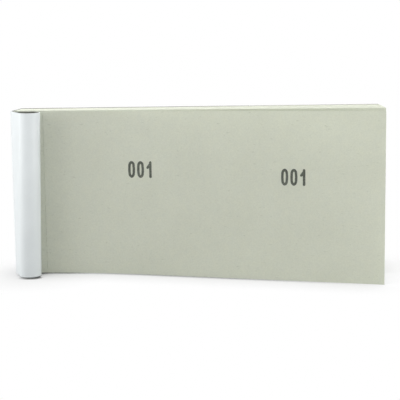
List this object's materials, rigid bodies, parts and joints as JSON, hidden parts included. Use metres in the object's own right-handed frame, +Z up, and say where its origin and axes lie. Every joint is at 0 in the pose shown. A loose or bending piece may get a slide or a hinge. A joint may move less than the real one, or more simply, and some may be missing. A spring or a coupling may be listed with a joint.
{
  "type": "numbered ticket pad",
  "caption": "Stapled pad of numbered tear-off tickets on its long edge, card cover looped round the spine and folded behind the board, first sheet lifting off the stack.",
  "frame": {"origin": "middle of the pad's box on the surface that it stands on", "axes": "+X from the spine to the free end of the sheets, +Y from the first sheet to the board, +Z up"},
  "size_m": [0.1048, 0.0346, 0.0464],
  "materials": {
    "cover_card": "satin white card",
    "ticket_paper": "uncoated grey-green paper",
    "grey_board": "uncoated grey board",
    "staple_wire": "drawn wire"
  },
  "bodies": {
    "pad": {"bound_margins": "ticket_paper", "stack_front": "ticket_paper", "stack_second": "ticket_paper", "stack_third": "ticket_paper", "stack_back": "ticket_paper", "backing_board": "grey_board", "staple_lower": "staple_wire", "staple_upper": "staple_wire", "front_cover_loop": "cover_card"},
    "cover_flap": {"front_cover_flap": "cover_card"},
    "sheet_001": {"sheet_001": "ticket_paper"},
    "sheet_002": {"sheet_002": "ticket_paper"},
    "sheet_003": {"sheet_003": "ticket_paper"},
    "sheet_004": {"sheet_004": "ticket_paper"},
    "sheet_005": {"sheet_005": "ticket_paper"},
    "sheet_006": {"sheet_006": "ticket_paper"},
    "sheet_007": {"sheet_007": "ticket_paper"},
    "sheet_008": {"sheet_008": "ticket_paper"},
    "sheet_009": {"sheet_009": "ticket_paper"},
    "sheet_010": {"sheet_010": "ticket_paper"}
  },
  "joints": [
    {"name": "turn_001", "type": "hinge", "parent": "sheet_002", "child": "sheet_001", "pos_m": [-0.04336, -0.00227, 0], "axis": [0, 0, -1], "range_deg": [0, 30], "stiffness_Nm_per_rad": 0.0005},
    {"name": "turn_002", "type": "hinge", "parent": "sheet_003", "child": "sheet_002", "pos_m": [-0.04336, -0.00227, 0], "axis": [0, 0, -1], "range_deg": [0, 12], "stiffness_Nm_per_rad": 0.0005},
    {"name": "turn_003", "type": "hinge", "parent": "sheet_004", "child": "sheet_003", "pos_m": [-0.04336, -0.00227, 0], "axis": [0, 0, -1], "range_deg": [0, 9], "stiffness_Nm_per_rad": 0.0005},
    {"name": "turn_004", "type": "hinge", "parent": "sheet_005", "child": "sheet_004", "pos_m": [-0.04336, -0.00227, 0], "axis": [0, 0, -1], "range_deg": [0, 7], "stiffness_Nm_per_rad": 0.0005},
    {"name": "turn_005", "type": "hinge", "parent": "sheet_006", "child": "sheet_005", "pos_m": [-0.04336, -0.00227, 0], "axis": [0, 0, -1], "range_deg": [0, 6], "stiffness_Nm_per_rad": 0.0005},
    {"name": "turn_006", "type": "hinge", "parent": "sheet_007", "child": "sheet_006", "pos_m": [-0.04336, -0.00227, 0], "axis": [0, 0, -1], "range_deg": [0, 5], "stiffness_Nm_per_rad": 0.0005},
    {"name": "turn_007", "type": "hinge", "parent": "sheet_008", "child": "sheet_007", "pos_m": [-0.04336, -0.00227, 0], "axis": [0, 0, -1], "range_deg": [0, 4], "stiffness_Nm_per_rad": 0.0005},
    {"name": "turn_008", "type": "hinge", "parent": "sheet_009", "child": "sheet_008", "pos_m": [-0.04336, -0.00227, 0], "axis": [0, 0, -1], "range_deg": [0, 4], "stiffness_Nm_per_rad": 0.0005},
    {"name": "turn_009", "type": "hinge", "parent": "sheet_010", "child": "sheet_009", "pos_m": [-0.04336, -0.00227, 0], "axis": [0, 0, -1], "range_deg": [0, 4], "stiffness_Nm_per_rad": 0.0005},
    {"name": "turn_010", "type": "hinge", "parent": "pad", "child": "sheet_010", "pos_m": [-0.04336, -0.00227, 0], "axis": [0, 0, -1], "range_deg": [0, 4], "stiffness_Nm_per_rad": 0.0005},
    {"name": "cover_fold", "type": "hinge", "parent": "pad", "child": "cover_flap", "pos_m": [-0.05225, 0.01049, 0], "axis": [0, 0, 1], "range_deg": [0, 170]}
  ]
}
